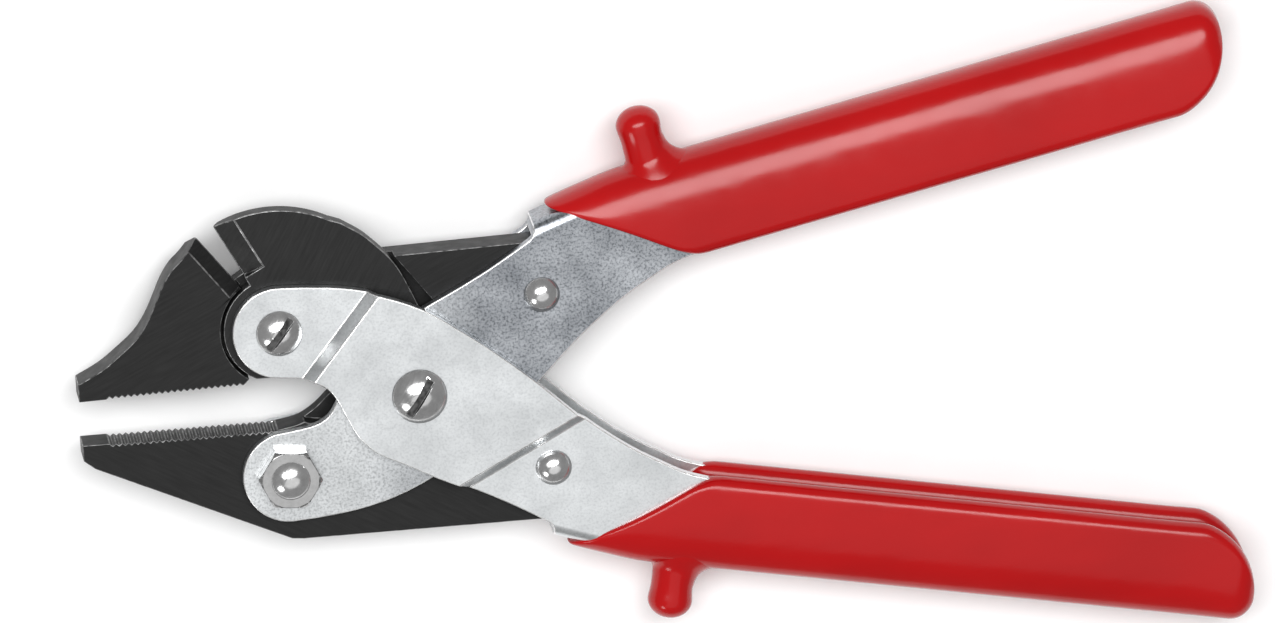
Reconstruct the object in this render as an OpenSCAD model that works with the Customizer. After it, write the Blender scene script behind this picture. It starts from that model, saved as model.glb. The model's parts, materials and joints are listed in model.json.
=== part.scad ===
// Parallel-action pliers with a side cutter.
// The tool lies flat. Z is the pivot axis, X runs from the jaws to the handles and Y runs across,
// with the upper handle on the +Y side. The origin is on the main pivot, at the flat face of its nut.
// All shapes are drawn about the middle plane of the jaws and then lifted by mid_z.

/* [Linkage] */
// Distance from the main pivot to each jaw pivot
front_r = 25.4; // [24:0.1:27]
// Distance from the main pivot to each guide rivet
rear_r = 26.1; // [25:0.1:27]
// Angle of each jaw pivot from the centreline
front_angle = 29.0; // [27:0.5:31]
// Angle of each guide rivet from the centreline
rear_angle = 34.7; // [33:0.1:36]
// Turn of each handle from this opening to closed jaws
close_angle = 9.2; // [6:0.1:10]
// Turn of each handle from this opening to the widest one
open_angle = 7.5; // [3:0.5:8]

/* [Jaws] */
// Thickness of the space between the handle plates
gap_w = 6.35; // [6:0.05:7]
// Distance of the jaw tips in front of the main pivot
jaw_reach = 55.8; // [52:0.1:60]
// Height of the closed jaw line above the main pivot
jaw_line = -0.6; // [-1:0.1:0]
// Slope of each jaw face, so that the tips meet first
toe_in = 0.6; // [0:0.1:1.5]
// Length of the smooth land at each jaw tip
land_len = 4.5; // [3:0.1:6]
// Distance between two teeth
tooth_pitch = 1.03; // [0.8:0.01:1.5]
// Depth of the teeth
tooth_depth = 0.45; // [0.2:0.05:0.6]
// Number of teeth on the upper jaw
tooth_count = 22; // [10:1:22]
// Further teeth of the lower jaw, towards its pivot
more_teeth = 5; // [0:1:5]

/* [Cutter] */
// Angle of the fixed cutting edge about the upper jaw pivot
horn_angle = 126.6; // [124:0.1:130]
// Length from the upper jaw pivot to the end of the cutting edges
cutter_r = 20.4; // [18:0.1:21]
// Radius of the blade's hub
hub_r = 9.0; // [8.5:0.1:9.2]
// Height of the cutting edges above the middle plane
edge_z = 1.2; // [0.8:0.1:1.6]

/* [Handles] */
// Thickness of the pressed plate
plate_t = 2.0; // [1.8:0.05:2.2]
// Angle between the pivot line and the grip
grip_bend = 23.4; // [22:0.1:25]
// Distance from the main pivot to the end of the steel handle, along the grip
handle_len = 142.0; // [130:1:150]
// Outer radius of the channel's two bends
bend_r = 2.2; // [2.1:0.1:2.6]

/* [Grips] */
// Thickness of the dipped coating
coat_t = 1.6; // [1.2:0.1:1.8]
// Diameter of the finger peg
peg_d = 7.5; // [6:0.1:9]
// Height of the finger peg above the grip
peg_h = 9.4; // [5:0.1:10]

/* [Fasteners] */
// Diameter of the main pivot screw's head
main_head_d = 9.1; // [8.5:0.1:10]
// Diameter of the main pivot screw's shoulder
main_shank_d = 6.0; // [5:0.1:6.5]
// Width across the flats of the main pivot nut
main_nut_af = 11; // [10:0.5:12]
// Height of the main pivot nut
main_nut_h = 2.8; // [2.4:0.1:3.5]
// Diameter of the jaw screws' heads
jaw_head_d = 7.6; // [7:0.1:8.5]
// Diameter of the jaw screws' shoulders
jaw_shank_d = 5.0; // [4.5:0.1:5.5]
// Width across the flats of the jaw screws' nuts
jaw_nut_af = 9.3; // [8.5:0.1:9.5]
// Height of the jaw screws' nuts
jaw_nut_h = 2.5; // [2:0.1:3]
// Diameter of the guide rivets' heads
rivet_head_d = 6.1; // [5.5:0.1:7]
// Diameter of the guide rivets between the plates
rivet_d = 4.8; // [4:0.1:5]

/* [Hidden] */
$fn = 96;

// Fits: a sliding face, a running bore and a bore that stays put
face_gap = 0.05;
run_gap = 0.05;
tight_gap = 0.01;
// More than enough to cut right through
far = 100;

// Levels, measured from the middle plane of the jaws
plate_in = gap_w / 2;
plate_out = plate_in + plate_t;
raised_in = plate_out + face_gap;
raised_out = raised_in + plate_t;
jaw_z = plate_in - face_gap;
mid_z = raised_out + face_gap + main_nut_h;

// Places on the linkage
front_pin = front_r * [-cos(front_angle), sin(front_angle)];
rear_pin = rear_r * [cos(rear_angle), sin(rear_angle)];
// The jaw pivot as the handle sees it, with the guide rivet on its x axis
handle_pin = front_r * [-cos(rear_angle - front_angle), sin(rear_angle - front_angle)];

// Half of the gap at the jaw tips
tip_gap = front_r * (sin(front_angle) - sin(front_angle - close_angle));

// Points on an arc about c from angle a0 to angle a1
function arc(c, r, a0, a1, n) =
    [for (i = [0:n]) c + r * [cos(a0 + (a1 - a0) * i / n), sin(a0 + (a1 - a0) * i / n)]];

// One point of a smooth curve through b and c, between a and d, at t from 0 to 1
function blend(a, b, c, d, t) =
    0.5 * (2 * b + (c - a) * t + (2 * a - 5 * b + 4 * c - d) * t * t
    + (3 * b - a - 3 * c + d) * t * t * t);

// A smooth curve through all the points p, with n steps from each point to the next
function spline(p, n = 4) = let (last = len(p) - 1) concat(
    [for (i = [0:last - 1], k = [0:n - 1])
        blend(p[max(i - 1, 0)], p[i], p[i + 1], p[min(i + 2, last)], k / n)],
    [p[last]]);

// Where the guide rivet is, seen from the jaw pivot, when the handles have opened by d
function pin_in_jaw(d) = [
    rear_r * cos(rear_angle + d) + front_r * cos(front_angle + d),
    rear_r * sin(rear_angle + d) - front_r * sin(front_angle + d)
];

// ---- Helpers ----

module lifted() {
    translate([0, 0, mid_z]) children();
}

// Turns the upper side's shape into the lower side's one
module to_lower_side() {
    rotate([180, 0, 0]) children();
}

// From the upper handle's own frame to the tool's frame
module in_upper_handle() {
    rotate([0, 0, rear_angle]) children();
}

// From the grip's own frame, with x along the grip, to the handle's frame
module along_grip() {
    rotate([0, 0, -grip_bend]) children();
}

module slab(z0, z1) {
    translate([0, 0, z0]) linear_extrude(z1 - z0) children();
}

// Straight slot for a pin of radius r, from point a to point b
module slot(a, b, r) {
    length = norm(b - a);
    translate(a) rotate(atan2(b[1] - a[1], b[0] - a[0])) {
        circle(r);
        translate([length, 0]) circle(r);
        translate([0, -r]) square([length, 2 * r]);
    }
}

// Spherical dome of diameter d and height h that stands on z = 0
module dome(d, h) {
    ball_r = (d * d / 4 + h * h) / (2 * h);
    intersection() {
        translate([0, 0, h - ball_r]) sphere(ball_r);
        cylinder(h = h, d = d);
    }
}

// Domed screw head with a screwdriver slot
module slotted_head(d, h, slot_w, slot_angle) {
    rim = 0.3;
    slot_depth = 1.1;
    difference() {
        union() {
            cylinder(h = rim, d = d);
            translate([0, 0, rim]) dome(d, h - rim);
        }
        rotate([0, 0, slot_angle]) translate([-d, -slot_w / 2, h - slot_depth])
            cube([2 * d, slot_w, far]);
    }
}

// Hexagon nut with a chamfered top, standing on z = 0
module hex_nut(af, h, bore_d) {
    corner_d = af / cos(30);
    chamfer = 0.5;
    difference() {
        intersection() {
            rotate([0, 0, 30]) cylinder(h = h, d = corner_d, $fn = 6);
            union() {
                cylinder(h = h - chamfer, d = corner_d + 1);
                translate([0, 0, h - chamfer])
                    cylinder(h = chamfer, d1 = corner_d, d2 = corner_d - 2.5 * chamfer);
            }
        }
        translate([0, 0, -1]) cylinder(h = h + 2, d = bore_d);
    }
}

// ---- Jaws ----

// Teeth of one jaw, as a zigzag along its face, from the tip towards the pivot
land_end_x = land_len - jaw_reach;
teeth_end_x = land_end_x + tooth_count * tooth_pitch;
lower_teeth_end_x = teeth_end_x + more_teeth * tooth_pitch;
function face_y(x) = tip_gap + (x + jaw_reach) * tan(toe_in);
function teeth(side, count) = [for (i = [0:count - 1], k = [0:1])
    let (x = land_end_x + (i + k / 2) * tooth_pitch)
    [x, jaw_line + side * (face_y(x) + k * tooth_depth)]];

tail_end_x = front_pin[0] + pin_in_jaw(-close_angle)[0] + rivet_d / 2 + 3;
tail_round = 3;

// Closed outline of the upper jaw
function upper_jaw_outline() = concat(
    [[-jaw_reach, jaw_line + face_y(-jaw_reach)]],
    teeth(1, tooth_count),
    [[teeth_end_x, jaw_line + face_y(teeth_end_x)]],
    spline([[-27.3, 4.6], [-22, 4.7], [-18.5, 5.7], [-16, 7.3], [-14, 9.2], [-11, 10.3]]),
    arc([tail_end_x - tail_round, 10.3 + tail_round], tail_round, -90, 0, 6),
    arc([tail_end_x - tail_round, 23.5 - tail_round], tail_round, 0, 90, 6),
    [[-3, 23.2]],
    arc(front_pin, slit_floor_r, 108, horn_angle, 5),
    [horn_tip],
    spline([
        horn_tip + [-0.3, 0.1], [-37.1, 25.9], [-39.1, 24.0], [-40.7, 21.6], [-42.1, 18.7],
        [-43.7, 15.6], [-45.7, 12.9], [-48.4, 10.6], [-51.8, 8.1], [-jaw_reach, 6.1]
    ], 3)
);
slit_floor_r = 10.6;
horn_tip = front_pin + cutter_r * [cos(horn_angle), sin(horn_angle)];

// Space of the blade in the front half of the upper jaw
pocket_r = hub_r + 0.5;
function pocket_outline() = concat(
    [front_pin + 30 * [cos(horn_angle), sin(horn_angle)]],
    arc(front_pin, pocket_r, horn_angle, 260, 24),
    [[0, -5], [13, 2], [3.8, 14.8], [-2.7, 23.7], [-2.7, 40]]
);

// Wedge that bevels a straight edge: the edge runs along x, the metal is on the +y side,
// and the cut falls from face_z at y = width to end_z at y = 0
module edge_bevel(x0, x1, width, face_z, end_z) {
    over = 1;
    slope = (face_z - end_z) / width;
    translate([x0, 0, 0]) rotate([90, 0, 90]) linear_extrude(x1 - x0)
        polygon([
            [-over, end_z - slope * over], [width + over, face_z + slope * over],
            [-over, face_z + slope * over]
        ]);
}

module horn_bevels() {
    bevel_w = 2.3;
    translate([front_pin[0], front_pin[1], 0]) rotate([0, 0, horn_angle]) {
        edge_bevel(pocket_r, far, bevel_w, jaw_z, edge_z + 0.1);
        edge_bevel(slit_floor_r, far, bevel_w, -jaw_z, edge_z - 0.4);
    }
}

module jaw_slot() {
    slot(pin_in_jaw(open_angle), pin_in_jaw(-close_angle), rivet_d / 2 + 2 * run_gap);
}

module upper_jaw() {
    color("#2b292b") lifted() difference() {
        slab(-jaw_z, jaw_z) polygon(upper_jaw_outline());
        slab(-face_gap / 2, far) polygon(pocket_outline());
        horn_bevels();
        slab(-far, far) translate(front_pin) circle(d = jaw_shank_d + 2 * run_gap);
        slab(-far, far) translate(front_pin) jaw_slot();
    }
}

// Outline of the lower jaw's rear half, with the rise behind the throat
function lower_jaw_outline() = concat(
    [[-jaw_reach, jaw_line - face_y(-jaw_reach)]],
    teeth(-1, tooth_count + more_teeth),
    spline([
        [lower_teeth_end_x, jaw_line - face_y(lower_teeth_end_x)], [-21.8, -4.4],
        [-19.3, -3.8], [-16.7, -2.2], [-14.6, -0.3], [-13.3, 0.5], [-12.0, -0.3],
        [-10.2, -3.2], [-8.0, -6.8], [-5.2, -9.4], [-1, -10.3]
    ], 3),
    arc([tail_end_x - tail_round, -10.3 - tail_round], tail_round, 90, 0, 6),
    arc([tail_end_x - tail_round, -24.2 + tail_round], tail_round, 0, -90, 6),
    [[-20.4, -23.7]],
    [[-22.4, -23.5], [-54.0, -8.5], [-jaw_reach, -7.0]]
);

// Space of the blade's arm over the lower jaw's front half
function arm_space() = concat(
    spline([[-20.2, -2.5], [-18.5, -3.9], [-13.5, -4.8], [-8.2, -7.0], [-4, -9.8], [0, -10.3]], 3),
    [[10, -10.3], [10, 10], [-20.2, 10]]
);

module lower_jaw() {
    color("#2b292b") lifted() difference() {
        slab(-jaw_z, jaw_z) polygon(lower_jaw_outline());
        slab(-face_gap / 2, far) polygon(arm_space());
        mirror([0, 1, 0]) slab(-far, far) translate(front_pin) {
            circle(d = jaw_shank_d + 2 * run_gap);
            jaw_slot();
        }
    }
}

// ---- Cutter blade ----

blade_angle = horn_angle - close_angle - 0.2;
eye_r = 6.0;
hub_drop = 8.0;
hub_flat_angle = 180 + asin(hub_drop / hub_r);

function blade_outline() = concat(
    arc(front_pin, cutter_r, blade_angle, 62, 18),
    spline([
        [-10.7, 29.6], [-7.4, 27.4], [-5.1, 25.2], [-2.9, 22.8], [-1.4, 20.4], [0, 17.3],
        [1.5, 13.6], [3.6, 8.5], [5.6, 3.0]
    ], 3),
    arc([0, 0], eye_r, 10, -120, 14),
    spline([[-8.0, -1.4], [-11.5, 0.9], [-15, 3.0], [-19, 4.2]], 3),
    arc(front_pin, hub_r, hub_flat_angle, blade_angle, 16)
);

module cutter_blade() {
    bevel_w = 3.6;
    color("#2e2c2e") lifted() difference() {
        slab(face_gap / 2, jaw_z) polygon(blade_outline());
        translate([front_pin[0], front_pin[1], 0]) rotate([0, 0, blade_angle]) mirror([0, 1, 0]) {
            edge_bevel(slit_floor_r, far, bevel_w, jaw_z, edge_z + 0.1);
            edge_bevel(slit_floor_r, far, 0.8, face_gap / 2, edge_z - 0.4);
        }
        slab(-far, far) translate(front_pin) circle(d = jaw_shank_d + 2 * tight_gap);
        slab(-far, far) circle(d = main_shank_d + 2 * tight_gap);
    }
}

// ---- Handles, in the upper handle's frame ----

end_r = 7.7;
neck_bend = 15.4;
// Outer face of the web, as its distance from the main pivot: beside the rivet and along the grip
neck_side = 18.5;
grip_side = 24.4;
// Edge of the flanges along the grip
flange_side = 10.3;
// Round relief where the web starts
web_start = 30.2;
relief_r = 2.1;
relief_y = 10.6;
relief_end_angle = -8.6;

// A point of the grip's frame in the handle's frame
function turned(p) = [
    p[0] * cos(grip_bend) + p[1] * sin(grip_bend),
    -p[0] * sin(grip_bend) + p[1] * cos(grip_bend)
];

// Corner where the neck's side and the grip's side meet, both moved outwards by extra
function mitre(extra) = let (
    neck = neck_side + extra,
    grip = grip_side + extra
) turned([(grip * cos(grip_bend - neck_bend) - neck) / sin(grip_bend - neck_bend), grip]);

// Point of the neck's side, moved outwards by extra, at x
function neck_point(x, extra) = [x, (neck_side + extra - x * sin(neck_bend)) / cos(neck_bend)];

// Rounded end of the handle or of its coating, grown by extra, from the outer side to the line
// y = side on the inner side
end_out_r = 2.1;
end_in_r = 11.4;
end_in_y = flange_side + end_in_r;
function grip_end(extra, side) = let (
    last_angle = -asin(min(1, (end_in_y - side) / (end_in_r + extra)))
) [for (p = concat(
    arc([handle_len - end_out_r, grip_side - end_out_r], end_out_r + extra, 90, 0, 6),
    arc([handle_len - end_in_r, end_in_y], end_in_r + extra, 0, last_angle, 14)
)) turned(p)];

// Outline of the plates, from the jaw pivot to the end of the grip
function plate_outline() = concat(
    arc(handle_pin, end_r, 235, 70, 22),
    spline([
        [-19.5, 8.1], [-16.6, 6.75], [-14.0, 6.45], [-11.4, 7.4], [-8.3, 9.3], [-5, 11.1],
        [-1, 11.9], [4, 11.3], [9.8, 10.7], [16.3, 9.7], [22, 9.0], [28.4, 8.55]
    ], 3),
    arc([web_start, relief_y], relief_r, -90, relief_end_angle, 6),
    [mitre(0)],
    grip_end(0, flange_side),
    spline([
        turned([57, flange_side]), [47.2, -10.2], [42, -9.5], [35, -9.15], [26, -9.8], [16.4, -11.4],
        [8, -12.4], [0, -12.9], [-7, -12.9], [-14, -11.5], [-20.3, -9.1], [-26.1, -6.0]
    ], 3)
);

// Space between the two plates, up to the web less inset
function inner_space(inset, start_x) = concat(
    [[-far, -far], [-far, far], [start_x, far], neck_point(start_x, -inset), mitre(-inset)],
    [turned([2 * far, grip_side - inset]), [2 * far, -2 * far]]
);

// Everything outside a round edge: the bar's side is at y = side and its flats at z = level, -level
module edge_round(side, level, r) {
    over = 1;
    for (s = [0, 1]) mirror([0, 0, s]) translate([-far / 2, side - r, level - r])
        rotate([90, 0, 90]) linear_extrude(3 * far) polygon(concat(
            arc([0, 0], r, 0, 90, 5),
            [[0, r + over], [r + over, r + over], [r + over, 0]]
        ));
}

// The same along the neck and along the grip
module outer_edges_round(extra, level, r) {
    rotate([0, 0, -neck_bend]) edge_round(neck_side + extra, level, r);
    along_grip() edge_round(grip_side + extra, level, r);
}

// Cuts that turn a thick blank into a plate which climbs at x = 0 and stays up as far as reach
module climb_cuts(reach) {
    climb_w = 1.6;
    over = 1;
    run = over * climb_w / (raised_in - plate_in);
    rotate([90, 0, 0]) linear_extrude(4 * far, center = true) {
        polygon([
            [-2 * far, plate_out], [0, plate_out], [climb_w + run, raised_out + over],
            [-2 * far, raised_out + over]
        ]);
        polygon([
            [-run, plate_in - over], [climb_w, raised_in], [reach, raised_in],
            [reach, plate_in - over]
        ]);
    }
}

// Rear plate: it bridges the other handle's plate around the main pivot
front_step_x = -17.3;
front_step_turn = 5.5;
rear_step_x = 21.0;
rear_step_turn = 28.7;
module bridge_cuts() {
    mirror([0, 0, 1]) {
        translate([front_step_x, 0, 0]) rotate([0, 0, front_step_turn]) climb_cuts(24);
        translate([rear_step_x, 0, 0]) rotate([0, 0, rear_step_turn]) mirror([1, 0, 0]) climb_cuts(26);
    }
}

module handle_body(pivot_d) {
    difference() {
        slab(-raised_out, plate_out) polygon(plate_outline());
        slab(-plate_in, plate_in) polygon(inner_space(plate_t, web_start));
        bridge_cuts();
        outer_edges_round(0, plate_out, bend_r);
        slab(-far, far) circle(d = pivot_d);
        slab(-far, far) translate(handle_pin) circle(d = jaw_shank_d + 2 * tight_gap);
        slab(-far, far) translate([rear_r, 0]) circle(d = rivet_end_d + 2 * tight_gap);
    }
}

module upper_handle() {
    color("#c9ced2") lifted() in_upper_handle() handle_body(main_shank_d + 2 * run_gap);
}

module lower_handle() {
    color("#d3d8da") lifted() to_lower_side() in_upper_handle()
        handle_body(main_shank_d + 2 * tight_gap);
}

// ---- Grips, in the upper handle's frame ----

coat_in = coat_t - 0.3;
grip_half_w = plate_out + coat_t;
grip_corner_r = 3.0;
ridge_r = 2.2;
// Inner side of the grip, where its two ridges end
ridge_side = flange_side - coat_t + 0.5;
// Ends of the dip line, on the outer and on the inner side
dip_out = [37.5, 9.6];
dip_in = [49.7, -11.6];
peg_x = 47.0;

// Outline of the coating, from the outer side round the end to the inner side
function grip_outline() = concat(
    [neck_point(20, coat_t), mitre(coat_t)],
    grip_end(coat_t, ridge_side),
    [turned([30, ridge_side])]
);

// Round-topped finger peg that stands on the outer side of the grip
module finger_peg() {
    sunk = 1.2;
    top_r = peg_d / 2;
    translate([peg_x, grip_side + coat_t - sunk, 0]) rotate([-90, 0, 0]) {
        cylinder(h = sunk + peg_h - top_r, d = peg_d);
        translate([0, 0, sunk + peg_h - top_r]) sphere(top_r);
    }
}

// The steel that the coating covers
module covered_steel() {
    difference() {
        slab(-plate_out, plate_out) polygon(plate_outline());
        slab(-plate_in, plate_in) polygon(inner_space(plate_t, web_start));
        outer_edges_round(0, plate_out, bend_r);
    }
}

module grip_body() {
    dip_turn = atan2(dip_in[1] - dip_out[1], dip_in[0] - dip_out[0]);
    difference() {
        union() {
            difference() {
                slab(-grip_half_w, grip_half_w) polygon(grip_outline());
                outer_edges_round(coat_t, grip_half_w, grip_corner_r);
                along_grip() mirror([0, 1, 0]) edge_round(-ridge_side, grip_half_w, ridge_r);
            }
            along_grip() finger_peg();
        }
        slab(coat_in - plate_in, plate_in - coat_in) polygon(inner_space(plate_t + coat_t, 0));
        covered_steel();
        translate([dip_out[0], dip_out[1], 0]) rotate([0, 0, dip_turn + 90])
            translate([-2 * far, -far, -far]) cube(2 * far);
    }
}

module upper_grip() {
    color("#b30d12") lifted() in_upper_handle() grip_body();
}

module lower_grip() {
    color("#b30d12") lifted() to_lower_side() in_upper_handle() grip_body();
}

// ---- Fasteners ----

head_h = 1.9;
jaw_end_d = 6.5;
jaw_end_h = 1.3;
slot_w = 1.25;
rivet_end_d = rivet_d - 0.8;
rivet_head_h = 1.7;

module main_pivot_screw() {
    head_rise = 2.3;
    slot_turn = 55;
    thread_d = 5.0;
    thread_recess = 0.3;
    color("#c4c6c8") lifted() {
        translate([0, 0, raised_out]) slotted_head(main_head_d, head_rise, slot_w, slot_turn);
        slab(-raised_out - face_gap, raised_out) circle(d = main_shank_d);
        slab(thread_recess - mid_z, -raised_out) circle(d = thread_d);
    }
}

module main_pivot_nut() {
    thread_d = 5.0;
    color("#b9bcbe") lifted() translate([0, 0, -raised_out - face_gap]) mirror([0, 0, 1])
        hex_nut(main_nut_af, main_nut_h, thread_d + 2 * tight_gap);
}

module pivot_spacer() {
    color("#77787a") lifted() slab(-plate_in, 0) difference() {
        circle(eye_r);
        circle(d = main_shank_d + 2 * tight_gap);
    }
}

// Screw through a handle and its jaw, with its head in front and its riveted end on the nut
module jaw_screw(slot_turn) {
    nut_face = plate_out + jaw_nut_h;
    translate([front_pin[0], front_pin[1], 0]) {
        translate([0, 0, plate_out]) slotted_head(jaw_head_d, head_h, slot_w, slot_turn);
        slab(-nut_face, plate_out) circle(d = jaw_shank_d);
        translate([0, 0, -nut_face]) mirror([0, 0, 1]) dome(jaw_end_d, jaw_end_h);
    }
}

module jaw_nut() {
    translate([front_pin[0], front_pin[1], -plate_out]) mirror([0, 0, 1])
        rotate([0, 0, 35]) hex_nut(jaw_nut_af, jaw_nut_h, jaw_shank_d + 2 * tight_gap);
}

module upper_jaw_screw() {
    color("#c4c6c8") lifted() jaw_screw(50);
}

module upper_jaw_nut() {
    color("#d5d9db") lifted() jaw_nut();
}

module lower_jaw_screw() {
    color("#c4c6c8") lifted() to_lower_side() jaw_screw(20);
}

module lower_jaw_nut() {
    color("#d5d9db") lifted() to_lower_side() jaw_nut();
}

module guide_rivet() {
    translate([rear_pin[0], rear_pin[1], 0]) {
        slab(-plate_in, plate_in) circle(d = rivet_d);
        slab(-plate_out, plate_out) circle(d = rivet_end_d);
        for (s = [0, 1]) mirror([0, 0, s]) translate([0, 0, plate_out])
            dome(rivet_head_d, rivet_head_h);
    }
}

module upper_guide_rivet() {
    color("#c4c6c8") lifted() guide_rivet();
}

module lower_guide_rivet() {
    color("#c4c6c8") lifted() to_lower_side() guide_rivet();
}

upper_jaw();
lower_jaw();
cutter_blade();
upper_handle();
lower_handle();
upper_grip();
lower_grip();
main_pivot_screw();
main_pivot_nut();
pivot_spacer();
upper_jaw_screw();
upper_jaw_nut();
lower_jaw_screw();
lower_jaw_nut();
upper_guide_rivet();
lower_guide_rivet();
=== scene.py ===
"""Parallel-action pliers with a side cutter: looks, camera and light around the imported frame."""

import json
import math

import bmesh
import bpy
from mathutils import Matrix, Vector


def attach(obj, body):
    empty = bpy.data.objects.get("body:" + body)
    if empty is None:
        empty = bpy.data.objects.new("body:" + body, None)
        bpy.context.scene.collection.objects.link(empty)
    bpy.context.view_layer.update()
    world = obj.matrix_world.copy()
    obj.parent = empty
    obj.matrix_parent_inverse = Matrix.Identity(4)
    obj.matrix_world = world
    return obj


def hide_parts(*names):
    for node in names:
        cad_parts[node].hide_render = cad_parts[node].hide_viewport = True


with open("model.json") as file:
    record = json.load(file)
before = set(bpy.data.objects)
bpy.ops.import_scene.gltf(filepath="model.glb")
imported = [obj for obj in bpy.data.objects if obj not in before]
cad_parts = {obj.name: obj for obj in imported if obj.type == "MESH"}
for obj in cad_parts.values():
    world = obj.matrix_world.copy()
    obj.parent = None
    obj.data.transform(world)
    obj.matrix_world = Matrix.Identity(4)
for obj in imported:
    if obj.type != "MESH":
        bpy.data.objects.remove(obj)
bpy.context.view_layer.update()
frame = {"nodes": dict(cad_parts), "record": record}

MM = 0.001
# Half of the stretch along X, in m, over which a handle's clean jaw end turns into its stained part
STAIN_FADE = 0.012
BODY_OF = {
    node: body
    for body, nodes in frame["record"]["behaviour"]["bodies"].items()
    for node in nodes
}


# ---- Material building blocks ----

class Surface:
    """A principled material and short calls for the nodes that feed it."""

    def __init__(self, name, **values):
        self.material = bpy.data.materials.new(name)
        self.material.use_nodes = True
        self.nodes = self.material.node_tree.nodes
        self.links = self.material.node_tree.links
        self.shader = self.nodes["Principled BSDF"]
        for socket, value in values.items():
            self.shader.inputs[socket.replace("_", " ")].default_value = value
        self.place = self.nodes.new("ShaderNodeTexCoord").outputs["Object"]

    def stretched(self, scale, turn=0.0):
        """Object coordinates, stretched by scale and turned about Z by turn degrees."""
        turned = self.nodes.new("ShaderNodeMapping")
        turned.inputs["Rotation"].default_value = (0, 0, math.radians(turn))
        self.links.new(self.place, turned.inputs["Vector"])
        scaled = self.nodes.new("ShaderNodeMapping")
        scaled.inputs["Scale"].default_value = scale
        self.links.new(turned.outputs["Vector"], scaled.inputs["Vector"])
        return scaled.outputs["Vector"]

    def noise(self, scale, detail=4.0, place=None, roughness=0.55):
        node = self.nodes.new("ShaderNodeTexNoise")
        node.inputs["Scale"].default_value = scale
        node.inputs["Detail"].default_value = detail
        node.inputs["Roughness"].default_value = roughness
        self.links.new(place or self.place, node.inputs["Vector"])
        return node.outputs["Fac"]

    def ramp(self, value, stops):
        """Value turned into colour: stops are (position, grey level or colour)."""
        node = self.nodes.new("ShaderNodeValToRGB")
        ramp = node.color_ramp
        for i, (position, colour) in enumerate(stops):
            stop = ramp.elements[i] if i < 2 else ramp.elements.new(position)
            stop.position = position
            if not isinstance(colour, tuple):
                colour = (colour, colour, colour)
            stop.color = (*colour, 1.0)
        self.links.new(value, node.inputs["Fac"])
        return node.outputs["Color"]

    def mixed(self, factor, a, b):
        node = self.nodes.new("ShaderNodeMix")
        node.data_type = "RGBA"
        self.links.new(factor, node.inputs["Factor"])
        self.links.new(a, node.inputs["A"])
        self.links.new(b, node.inputs["B"])
        return node.outputs["Result"]

    def to(self, socket, value):
        self.links.new(value, self.shader.inputs[socket])

    def bump(self, height, distance, strength=1.0):
        """Adds a bump of that height in metres on top of the bumps so far."""
        node = self.nodes.new("ShaderNodeBump")
        node.inputs["Distance"].default_value = distance
        node.inputs["Strength"].default_value = strength
        self.links.new(height, node.inputs["Height"])
        so_far = self.shader.inputs["Normal"]
        if so_far.links:
            self.links.new(so_far.links[0].from_socket, node.inputs["Normal"])
        self.links.new(node.outputs["Normal"], so_far)


def black_steel(name, grain_turn, dark, light):
    """Black oxide on ground steel: faint grain, cloudy sheen and a fine pitted skin."""
    s = Surface(name, Metallic=0.0, Specular_IOR_Level=0.20)
    clouds = s.noise(160, 5)
    grain = s.noise(1.0, 3, s.stretched((2600, 190, 900), grain_turn))
    even = s.ramp(grain, [(0.3, dark), (0.75, light)])
    deep = s.ramp(grain, [(0.2, dark), (0.8, (dark + light) / 2)])
    both = s.mixed(clouds, even, deep)
    s.to("Base Color", both)
    s.to("Roughness", s.ramp(s.noise(420, 6), [(0.3, 0.38), (0.7, 0.52)]))
    s.bump(grain, 0.000012)
    s.bump(s.noise(3200, 3), 0.000010)
    return s.material


def worn_edge(name, dark, bright, rough):
    """Where an edge has lost some of its coating."""
    s = Surface(name, Metallic=0.8)
    wear = s.noise(900, 5)
    s.to("Base Color", s.ramp(wear, [(0.35, dark), (0.62, bright)]))
    s.to("Roughness", s.ramp(wear, [(0.3, rough), (0.7, rough * 0.7)]))
    s.bump(s.noise(2500, 3), 0.000008)
    return s.material


def plated_steel(name, low, high, mottle, grain_turn, front=None):
    """Satin zinc plate with rolling grain, faint blotches and small specks.
    front is a pair of tones that the jaw end has instead, where the plate is less stained."""
    s = Surface(name, Metallic=1.0)
    blotches = s.noise(150, 6, roughness=0.6)
    specks = s.noise(2300, 4, roughness=0.7)

    def skin(dark, light):
        tone = s.ramp(blotches, [(0.3, dark), (0.7, light)])
        dim = s.ramp(specks, [(0.38, tuple(c * mottle for c in dark)), (0.56, light)])
        return s.mixed(specks, dim, tone)

    colour = skin(low, high)
    if front:
        split = s.nodes.new("ShaderNodeSeparateXYZ")
        s.links.new(s.place, split.inputs["Vector"])
        spread = s.nodes.new("ShaderNodeMapRange")
        spread.inputs["From Min"].default_value = -STAIN_FADE
        spread.inputs["From Max"].default_value = STAIN_FADE
        s.links.new(split.outputs["X"], spread.inputs["Value"])
        colour = s.mixed(spread.outputs["Result"], skin(*front), colour)
    s.to("Base Color", colour)
    grain = s.noise(1.0, 3, s.stretched((160, 3200, 800), grain_turn))
    s.to("Roughness", s.ramp(blotches, [(0.3, 0.30), (0.7, 0.40)]))
    s.bump(grain, 0.000008)
    s.bump(specks, 0.000008)
    return s.material


def polished_steel(name, grey):
    """Turned and polished fastener with faint scratches."""
    s = Surface(name, Metallic=1.0)
    scratches = s.noise(1.0, 4, s.stretched((5200, 700, 1200), 35))
    stains = s.noise(700, 5)
    s.to("Base Color", s.ramp(stains, [(0.3, grey * 0.86), (0.6, grey)]))
    s.to("Roughness", s.ramp(scratches, [(0.35, 0.13), (0.7, 0.24)]))
    s.bump(scratches, 0.000004)
    return s.material


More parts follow.
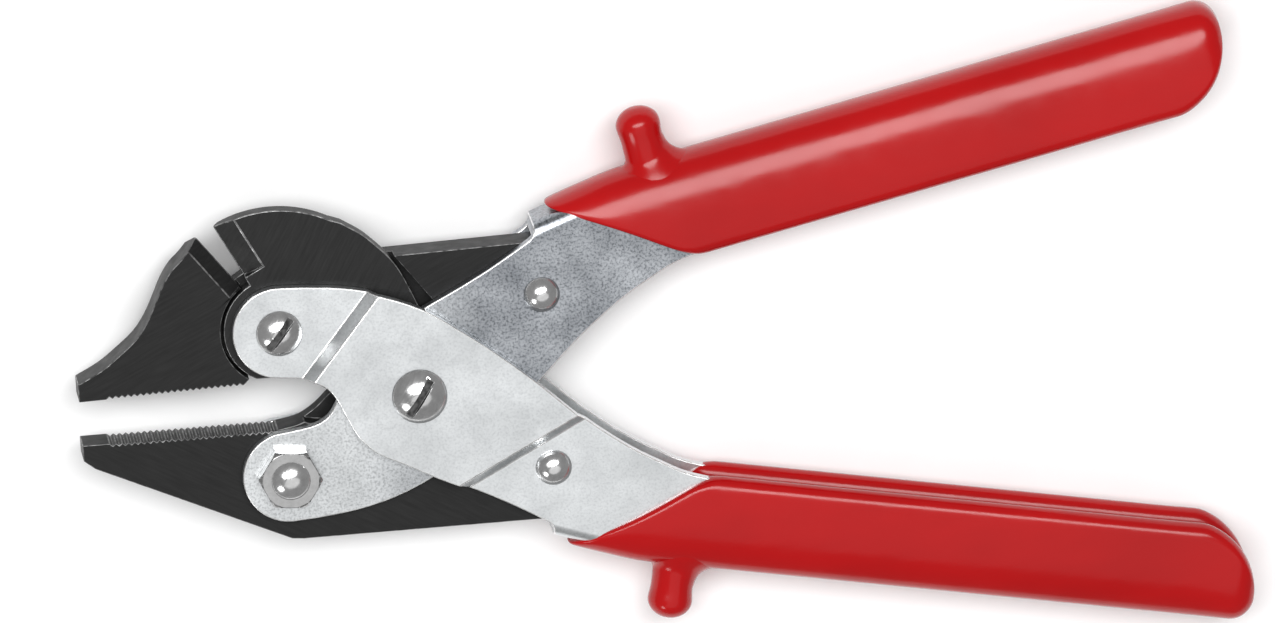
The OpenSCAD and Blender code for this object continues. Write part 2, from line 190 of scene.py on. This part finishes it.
def slot_shade_steel(name):
    """Floor and walls of a driver slot: rougher, coloured near black and mottled, as painted shade in
    the slot.
    """
    s = Surface(name, Metallic=0.6)
    shade_mottle = s.noise(1400, 5)
    # Painted shade: a near-black base colour for the shade that falls in the slot
    s.to("Base Color", s.ramp(shade_mottle, [(0.35, 0.02), (0.65, 0.10)]))
    s.to("Roughness", s.ramp(shade_mottle, [(0.3, 0.65), (0.7, 0.5)]))
    s.bump(shade_mottle, 0.00002)
    return s.material


def dipped_plastic(name):
    """Glossy coating that has flowed: slight waves, tiny pimples and a deeper red where it is thick."""
    s = Surface(name, Specular_IOR_Level=0.34)
    flow = s.noise(1.0, 3, s.stretched((28, 60, 60)))
    s.to("Base Color", s.ramp(flow, [(0.3, (0.35, 0.0020, 0.0028)), (0.7, (0.42, 0.0030, 0.0040))]))
    s.to("Roughness", s.ramp(s.noise(260, 5), [(0.3, 0.17), (0.7, 0.24)]))
    s.bump(flow, 0.00022)
    s.bump(s.noise(1300, 2), 0.000004)
    return s.material


def pale_floor(name):
    s = Surface(name, Specular_IOR_Level=0.2)
    paper = s.noise(90, 6)
    s.to("Base Color", s.ramp(paper, [(0.3, 0.93), (0.7, 0.95)]))
    s.to("Roughness", s.ramp(paper, [(0.3, 0.75), (0.7, 0.85)]))
    s.bump(s.noise(1200, 4), 0.00002)
    return s.material


# Tones of the plate, in linear colour
ZINC_LOW = (0.62, 0.64, 0.65)
ZINC_HIGH = (0.76, 0.78, 0.79)
DULL_LOW = (0.14, 0.155, 0.175)
DULL_HIGH = (0.50, 0.52, 0.55)

BLACK_EDGE = worn_edge("black_worn_edge", 0.035, 0.20, 0.42)
BLADE_EDGE = worn_edge("blade_worn_edge", 0.06, 0.32, 0.36)
PLATE_EDGE = worn_edge("plate_sheared_edge", 0.62, 0.92, 0.26)
FASTENER_EDGE = worn_edge("fastener_edge", 0.6, 0.95, 0.2)
NUT_EDGE = worn_edge("nut_edge", 0.12, 0.40, 0.34)
POLISHED = polished_steel("fastener_polished", 0.80)
# Painted shade for the floor and walls of the screws' driver slots
SLOT_PAINTED_SHADE = slot_shade_steel("driver_slot_painted_shade")
RED = dipped_plastic("dip_coating_red")
UPPER_PLATE = plated_steel("upper_handle_plate", DULL_LOW, DULL_HIGH, 0.55, -10, (ZINC_LOW, ZINC_HIGH))
LOWER_PLATE = plated_steel("lower_handle_plate", ZINC_LOW, ZINC_HIGH, 0.92, -35)

# Each CAD node's own material, the material of its broken edges, the width of these in mm,
# and for the slotted screws the material of the slot, coloured dark as painted shade
FINISHES = {
    "upper_jaw": (black_steel("upper_jaw_black", 65, 0.009, 0.019), BLACK_EDGE, 0.14),
    "lower_jaw": (black_steel("lower_jaw_black", -60, 0.009, 0.019), BLACK_EDGE, 0.14),
    "cutter_blade": (black_steel("blade_black", 30, 0.010, 0.022), BLADE_EDGE, 0.16),
    "upper_handle": (UPPER_PLATE, PLATE_EDGE, 0.22),
    "lower_handle": (LOWER_PLATE, PLATE_EDGE, 0.22),
    "main_pivot_screw": (POLISHED, NUT_EDGE, 0.06, SLOT_PAINTED_SHADE),
    "main_pivot_nut": (polished_steel("nut_polished", 0.60), NUT_EDGE, 0.14),
    "pivot_spacer": (black_steel("spacer_black", 0, 0.05, 0.09), BLACK_EDGE, 0.10),
    "upper_jaw_screw": (POLISHED, NUT_EDGE, 0.06, SLOT_PAINTED_SHADE),
    "upper_jaw_nut": (polished_steel("upper_jaw_nut_polished", 0.58), NUT_EDGE, 0.14),
    "lower_jaw_screw": (POLISHED, NUT_EDGE, 0.06, SLOT_PAINTED_SHADE),
    "lower_jaw_nut": (polished_steel("lower_jaw_nut_polished", 0.58), NUT_EDGE, 0.14),
    "upper_guide_rivet": (POLISHED, FASTENER_EDGE, 0.08),
    "lower_guide_rivet": (POLISHED, FASTENER_EDGE, 0.08),
}


# ---- Steel pieces: the CAD shape with its sharp edges broken ----

# Edges sharper than this are broken; the facets of round outlines meet at less
SHARP = math.radians(20)
WELD = 2e-6
FLAT = math.radians(0.5)
# |z| of the normal of a face square to the pivot axis, and of one along it
SQUARE = 0.9999
ALONG = 0.01


def link(name, mesh):
    piece = bpy.data.objects.new(name, mesh)
    bpy.context.scene.collection.objects.link(piece)
    return piece


def bake_modifiers(piece):
    graph = bpy.context.evaluated_depsgraph_get()
    done = bpy.data.meshes.new_from_object(piece.evaluated_get(graph))
    done.name = piece.name
    piece.modifiers.clear()
    piece.data = done


def edge_broken_copy(node, surface, edge_surface, width_mm, slot_shade_surface=None):
    """A copy of the CAD node whose flat faces are whole again and whose edges are rounded.
    Faces square to the pivot axis or along it, as in a slot, take the slot's painted-shade material if
    there is one."""
    shape = bmesh.new()
    shape.from_mesh(frame["nodes"][node].data)
    bmesh.ops.remove_doubles(shape, verts=shape.verts, dist=WELD)
    bmesh.ops.dissolve_limit(shape, angle_limit=FLAT, verts=shape.verts, edges=shape.edges)
    for face in shape.faces:
        face.smooth = True
        lean = abs(face.normal.z)
        # Faces in a slot get the material that paints the slot's shade
        in_slot = slot_shade_surface and (lean > SQUARE or lean < ALONG)
        face.material_index = 2 if in_slot else 0
    mesh = bpy.data.meshes.new(node + "_finished")
    shape.to_mesh(mesh)
    shape.free()
    mesh.materials.append(surface)
    mesh.materials.append(edge_surface)
    if slot_shade_surface:
        mesh.materials.append(slot_shade_surface)
    piece = link(node + "_finished", mesh)
    bevel = piece.modifiers.new("edges", "BEVEL")
    bevel.width = width_mm * MM
    bevel.segments = 2
    bevel.limit_method = "ANGLE"
    bevel.angle_limit = SHARP
    bevel.use_clamp_overlap = False
    bevel.material = 1
    even = piece.modifiers.new("shading", "WEIGHTED_NORMAL")
    even.keep_sharp = True
    even.weight = 90
    bake_modifiers(piece)
    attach(piece, BODY_OF[node])
    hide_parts(node)
    return piece


for node_name, finish in FINISHES.items():
    edge_broken_copy(node_name, *finish)


# ---- Dipped grips ----
# Grip frame, in mm: u along the grip from the main pivot, v outwards, z through the thickness.

REAR_ANGLE = 34.7
GRIP_BEND = 23.4
MID_Z = 10.075
GRIP_END = 143.6
OUTER_V = 26.0
RIDGE_V = 9.2
HALF_Z = 6.775
# The outer side is a superellipse between its widest line and the outer face
WIDE_V = 13.2
ROUNDNESS = 2.7
RIDGE_R = 2.2
VALLEY_Z = 1.9
VALLEY_V = 20.8
MITRE_U = 40.6
NECK_SLOPE = math.tan(math.radians(8.0))
# The coating starts on a slanted line: its place at v = DIP_V, and its slant
DIP_V = 23.7
DIP_START = 30.7
DIP_SLANT = 1.34
OUTER_CORNER = 3.7
INNER_CORNER = 13.0
# The inner side stands out by this much up to the round end, and loses it over INNER_EASE
INNER_LIFT = 0.5
INNER_EASE = 4


def smooth_step(t):
    t = min(max(t, 0.0), 1.0)
    return t * t * (3 - 2 * t)


def dip_u(v):
    """Where the coating starts, as a slanted straight line."""
    return DIP_START + (DIP_V - v) * DIP_SLANT


def outer_v(u):
    """Outer side of the grip: it bends over the neck and rounds off at the end."""
    drop = NECK_SLOPE * max(MITRE_U - u, 0.0)
    into = max(u - (GRIP_END - OUTER_CORNER), 0.0)
    end = OUTER_CORNER - math.sqrt(max(OUTER_CORNER * OUTER_CORNER - into * into, 0.0))
    return OUTER_V - drop - end


def inner_v(u):
    """Inner side of the grip: straight, then a wide round end."""
    radius = INNER_CORNER
    into = min(max(u - (GRIP_END - radius), 0.0), radius)
    end = radius - math.sqrt(radius * radius - into * into)
    return RIDGE_V - INNER_LIFT + end + INNER_LIFT * smooth_step(1 - into / INNER_EASE)


def section(skin):
    """Closed section as (v, z), skin under the finished surface: a full round outer side,
    then a straight flank, a round ridge and the valley wall, and the same mirrored."""
    half = HALF_Z - skin
    rise = OUTER_V - skin - WIDE_V
    steps = 22
    outer = []
    for i in range(steps + 1):
        a = math.pi * i / steps
        height = max(math.sin(a), 0.0) ** (2 / ROUNDNESS)
        side = math.copysign(abs(math.cos(a)) ** (2 / ROUNDNESS), math.cos(a))
        outer.append((WIDE_V + rise * height, half * side))
    lower = [(12.3, -half)]
    centre_v, centre_z = RIDGE_V + skin + RIDGE_R, RIDGE_R - half
    for i in range(9):
        a = math.radians(180 * i / 8)
        lower.append((centre_v - RIDGE_R * math.sin(a), centre_z - RIDGE_R * math.cos(a)))
    lower += [(15.0, -VALLEY_Z - 0.1), (VALLEY_V, -VALLEY_Z)]
    upper = [(v, -z) for v, z in reversed(lower)]
    return outer + lower + upper


def ring(skin, u_of_v, thin=0.0):
    """One ring of the loft. u_of_v gives u for a point's v; thin takes off from the half thickness."""
    result = []
    for v, z in section(skin):
        u = u_of_v(v)
        share = (v - RIDGE_V) / (OUTER_V - RIDGE_V)
        low, top = inner_v(u), outer_v(u)
        result.append(Vector((u, low + (top - low) * share, z * (HALF_Z - thin) / HALF_Z)))
    return result


def grip_rings():
    rings = []
    for skin, back in ((1.55, 0.25), (1.2, 0.0), (0.75, 0.05), (0.38, 0.35), (0.14, 0.9), (0.03, 1.7)):
        rings.append(ring(skin, lambda v, b=back: dip_u(v) + b))
    straight = 56.0
    for t in (0.12, 0.25, 0.4, 0.55, 0.7, 0.85, 1.0):
        rings.append(ring(0.0, lambda v, f=t: (dip_u(v) + 1.7) * (1 - f) + straight * f))
    u = straight
    while u < GRIP_END - 14:
        u += 4.0
        rings.append(ring(0.0, lambda v, at=u: at))
    last = u
    steps = 16
    round_r = 4.5
    for i in range(1, steps + 1):
        a = math.radians(90 * i / steps)
        at = last + (GRIP_END - 0.02 - last) * math.sin(a)
        into = max(at - (GRIP_END - round_r), 0.0)
        thin = 0.8 * (round_r - math.sqrt(max(round_r * round_r - into * into, 0.0)))
        rings.append(ring(0.0, lambda v, x=at: x, thin))
    return rings


PEG_U = 46.9
PEG_R = 3.75
PEG_TOP = 35.4
# Height and radius of the rings of its stem, which widens towards the top
PEG_STEM = ((30.0, 3.46), (31.1, 3.60), (32.2, 3.75))
PEG_DOME_BASE = 32.3


def surface_v(u, z):
    """Height of the grip's outer side under the peg."""
    across = min(abs(z) / HALF_Z, 1.0)
    height = (1 - across ** ROUNDNESS) ** (1 / ROUNDNESS)
    return outer_v(u) - (OUTER_V - WIDE_V) * (1 - height)


def peg_ring(height, radius, count):
    """A level round ring about the peg's axis."""
    turns = [2 * math.pi * k / count for k in range(count)]
    return [Vector((PEG_U + radius * math.cos(t), height, radius * math.sin(t))) for t in turns]


def peg_rings(count=40):
    """Rings of the finger peg, from its flared foot on the grip to its round top."""
    rings = []
    foot_steps = 8
    for i in range(foot_steps + 1):
        a = math.radians(90 * i / foot_steps)
        row = []
        for k in range(count):
            turn = 2 * math.pi * k / count
            rear = (1 + math.cos(turn)) / 2
            flare = (1.4 + 2.6 * rear * rear) * (1 - 0.35 * abs(math.sin(turn)))
            reach = PEG_R - 0.15 + flare * (1 - math.sin(a))
            u = PEG_U + reach * math.cos(turn)
            z = min(reach, HALF_Z - 0.8) * math.sin(turn)
            base = surface_v(u, z) * (1 - i / foot_steps) + OUTER_V * i / foot_steps
            row.append(Vector((u, base - 0.12 + flare * (1 - math.cos(a)), z)))
        rings.append(row)
    for height, radius in PEG_STEM:
        rings.append(peg_ring(height, radius, count))
    for i in range(1, 8):
        a = math.radians(90 * i / 8)
        height = PEG_DOME_BASE + (PEG_TOP - PEG_DOME_BASE) * math.sin(a)
        rings.append(peg_ring(height, PEG_R * math.cos(a), count))
    return rings


def add_loft(shape, rings, cap_start, cap_end):
    """Skins the rings in order, and closes the ends asked for."""
    rows = [[shape.verts.new(p) for p in r] for r in rings]
    n = len(rows[0])
    for a, b in zip(rows, rows[1:]):
        for k in range(n):
            shape.faces.new((a[k], a[(k + 1) % n], b[(k + 1) % n], b[k]))
    if cap_start:
        shape.faces.new(list(reversed(rows[0])))
    if cap_end:
        shape.faces.new(rows[-1])


def make_grip(node, lower):
    """The dipped grip with its peg. The lower grip is the upper one turned over about X."""
    shape = bmesh.new()
    add_loft(shape, grip_rings(), True, True)
    add_loft(shape, peg_rings(), False, True)
    bmesh.ops.recalc_face_normals(shape, faces=shape.faces)
    for face in shape.faces:
        face.smooth = True
    mesh = bpy.data.meshes.new(node + "_dipped")
    shape.to_mesh(mesh)
    shape.free()
    to_tool = Matrix.Rotation(math.radians(REAR_ANGLE - GRIP_BEND), 4, "Z")
    turn_over = Matrix.Rotation(math.pi, 4, "X") if lower else Matrix.Identity(4)
    mesh.transform(Matrix.Translation((0, 0, MID_Z * MM)) @ turn_over @ to_tool @ Matrix.Scale(MM, 4))
    mesh.materials.append(RED)
    piece = link(node + "_dipped", mesh)
    piece.modifiers.new("round", "SUBSURF").levels = 1
    bake_modifiers(piece)
    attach(piece, BODY_OF[node])
    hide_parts(node)
    return piece


make_grip("upper_grip", False)
make_grip("lower_grip", True)


# ---- Floor, light and camera ----

def make_floor():
    size = 6.0
    bpy.ops.mesh.primitive_grid_add(x_subdivisions=8, y_subdivisions=8, size=size, location=(0, 0, 0))
    floor = bpy.context.object
    floor.name = "floor"
    floor.data.materials.append(pale_floor("floor_paper"))


def soft_light(name, place, size, power):
    """An elliptical soft box that faces the tool."""
    data = bpy.data.lights.new(name, "AREA")
    data.shape = "ELLIPSE"
    data.size, data.size_y = size
    data.energy = power
    lamp = bpy.data.objects.new(name, data)
    lamp.location = place
    target = Vector((0.04, 0, 0.01))
    lamp.rotation_euler = (target - lamp.location).to_track_quat("-Z", "Y").to_euler()
    bpy.context.scene.collection.objects.link(lamp)


def make_world():
    world = bpy.data.worlds.new("studio")
    world.use_nodes = True
    back = world.node_tree.nodes["Background"]
    back.inputs["Color"].default_value = (1.0, 1.0, 1.0, 1.0)
    back.inputs["Strength"].default_value = 0.28
    bpy.context.scene.world = world


def make_camera():
    """The camera stands almost overhead, tilted a little from the upper handle's side."""
    right = Vector((0.9921, -0.0652, 0.1075))
    back = Vector((-0.0861, 0.2711, 0.9587)).normalized()
    up = back.cross(right).normalized()
    right = up.cross(back)
    data = bpy.data.cameras.new("camera")
    data.sensor_width = 36.0
    data.lens = 512.8
    data.clip_end = 20.0
    camera = bpy.data.objects.new("camera", data)
    turn = Matrix((right, up, back)).transposed().to_4x4()
    camera.matrix_world = Matrix.Translation((-0.22076, 0.82248, 2.88693)) @ turn
    bpy.context.scene.collection.objects.link(camera)
    bpy.context.scene.camera = camera


make_floor()
make_world()
soft_light("overhead", (0.20, -0.60, 1.90), (2.4, 1.5), 4.6)
soft_light("band", (-0.1, 0.66, 1.88), (2.2, 0.86), 42.0)
soft_light("side", (-0.95, -0.98, 0.87), (0.5, 0.5), 4.0)
make_camera()
bpy.context.scene.view_settings.view_transform = "Standard"
